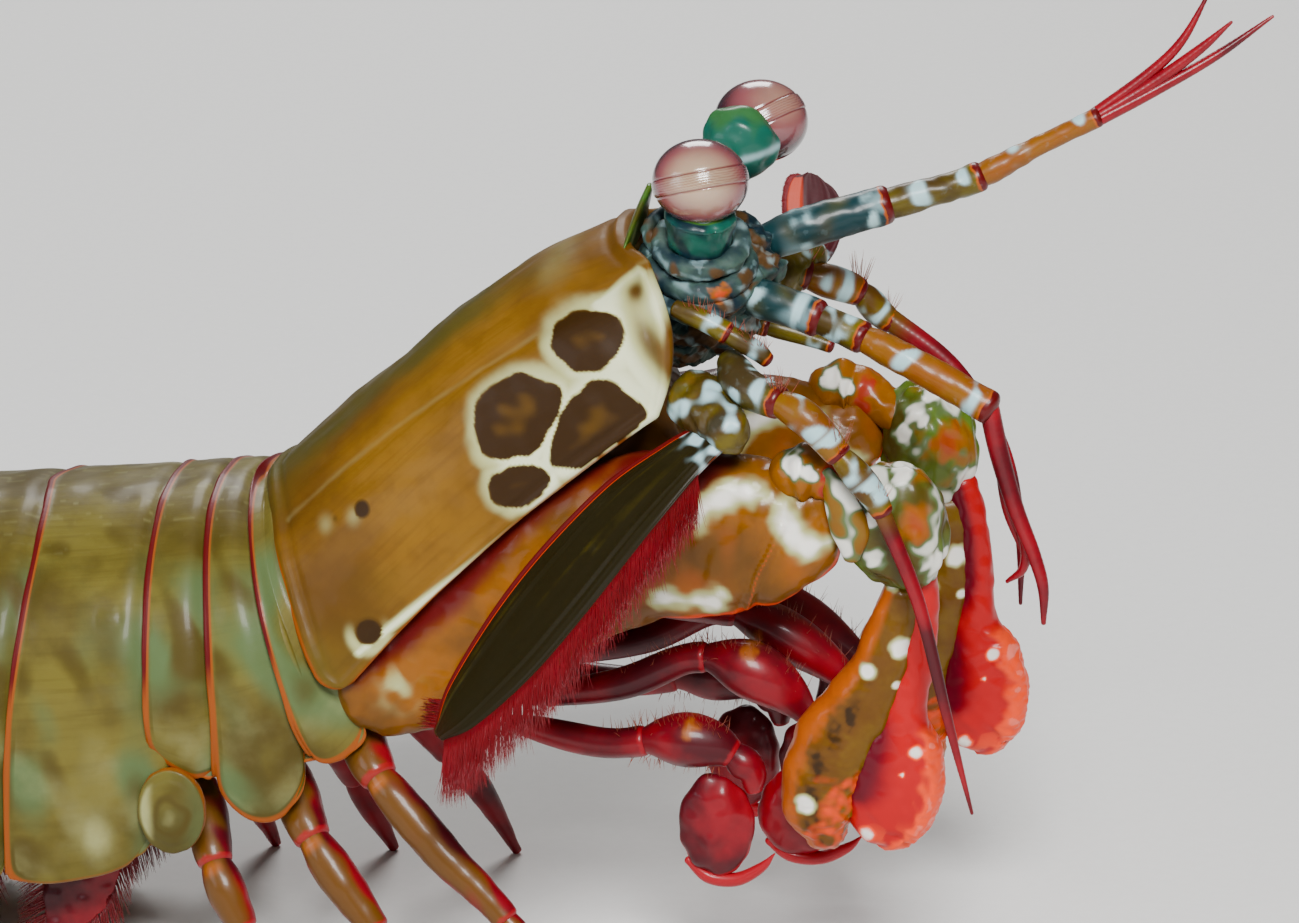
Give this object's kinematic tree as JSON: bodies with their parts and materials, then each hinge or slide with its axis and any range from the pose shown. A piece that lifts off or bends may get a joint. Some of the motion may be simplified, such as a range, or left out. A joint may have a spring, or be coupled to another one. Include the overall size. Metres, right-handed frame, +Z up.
{
  "type": "mantis shrimp model",
  "caption": "Life-size still model of a mantis shrimp: domed carapace, stalked round eyes, folded hammer claws, jointed feelers, plated abdomen, thin walking legs and a toothed tail fan.",
  "frame": {"origin": "middle of the bounding box, on the floor the animal stands on", "axes": "+X towards the head, +Y towards the animal's left, +Z up"},
  "size_m": [0.1534, 0.0654, 0.0717],
  "materials": {
    "carapace": "glossy shell, olive-brown with dark spots in a pale net",
    "segments": "glossy shell, olive-green with dark red rear rims",
    "tail": "glossy shell, blue-green with red edges",
    "head": "rough shell, blue-green and brown",
    "eye_shell": "glossy shell, teal",
    "cornea": "polished facets, mauve, with a lined band",
    "feelers": "glossy joints, olive and orange with white spots",
    "scales": "dark glossy blade with a red fringe",
    "claw_arm": "glossy shell, olive and orange with white patches",
    "claw_hammer": "glossy shell, red with a pale striking face",
    "small_limbs": "glossy thin shell, crimson"
  },
  "bodies": {
    "root": {"head": "head", "rostral_plate": "eye_shell", "carapace": "carapace", "thorax_front": "segments", "thorax_6": "segments", "thorax_7": "segments", "thorax_8": "segments", "abdomen_1": "segments", "abdomen_2": "segments", "abdomen_3": "segments", "abdomen_4": "segments", "abdomen_5": "segments", "abdomen_6": "segments", "telson": "tail", "uropod_endopod_r": "tail", "uropod_exopod_r": "tail", "uropod_endopod_l": "tail", "uropod_exopod_l": "tail", "eyestalk_r": "eye_shell", "eye_r": "cornea", "antennule_r": "feelers", "antenna_r": "feelers", "antennal_scale_r": "scales", "claw_merus_r": "claw_arm", "claw_carpus_r": "claw_arm", "claw_propodus_r": "claw_arm", "claw_dactyl_r": "claw_hammer", "maxilliped_1_r": "small_limbs", "maxilliped_3_r": "small_limbs", "maxilliped_4_r": "small_limbs", "maxilliped_5_r": "small_limbs", "walking_leg_1_r": "small_limbs", "walking_leg_2_r": "small_limbs", "walking_leg_3_r": "small_limbs", "pleopod_1_r": "small_limbs", "pleopod_2_r": "small_limbs", "pleopod_3_r": "small_limbs", "pleopod_4_r": "small_limbs", "pleopod_5_r": "small_limbs", "eyestalk_l": "eye_shell", "eye_l": "cornea", "antennule_l": "feelers", "antenna_l": "feelers", "antennal_scale_l": "scales", "claw_merus_l": "claw_arm", "claw_carpus_l": "claw_arm", "claw_propodus_l": "claw_arm", "claw_dactyl_l": "claw_hammer", "maxilliped_1_l": "small_limbs", "maxilliped_3_l": "small_limbs", "maxilliped_4_l": "small_limbs", "maxilliped_5_l": "small_limbs", "walking_leg_1_l": "small_limbs", "walking_leg_2_l": "small_limbs", "walking_leg_3_l": "small_limbs", "pleopod_1_l": "small_limbs", "pleopod_2_l": "small_limbs", "pleopod_3_l": "small_limbs", "pleopod_4_l": "small_limbs", "pleopod_5_l": "small_limbs"}
  },
  "joints": []
}
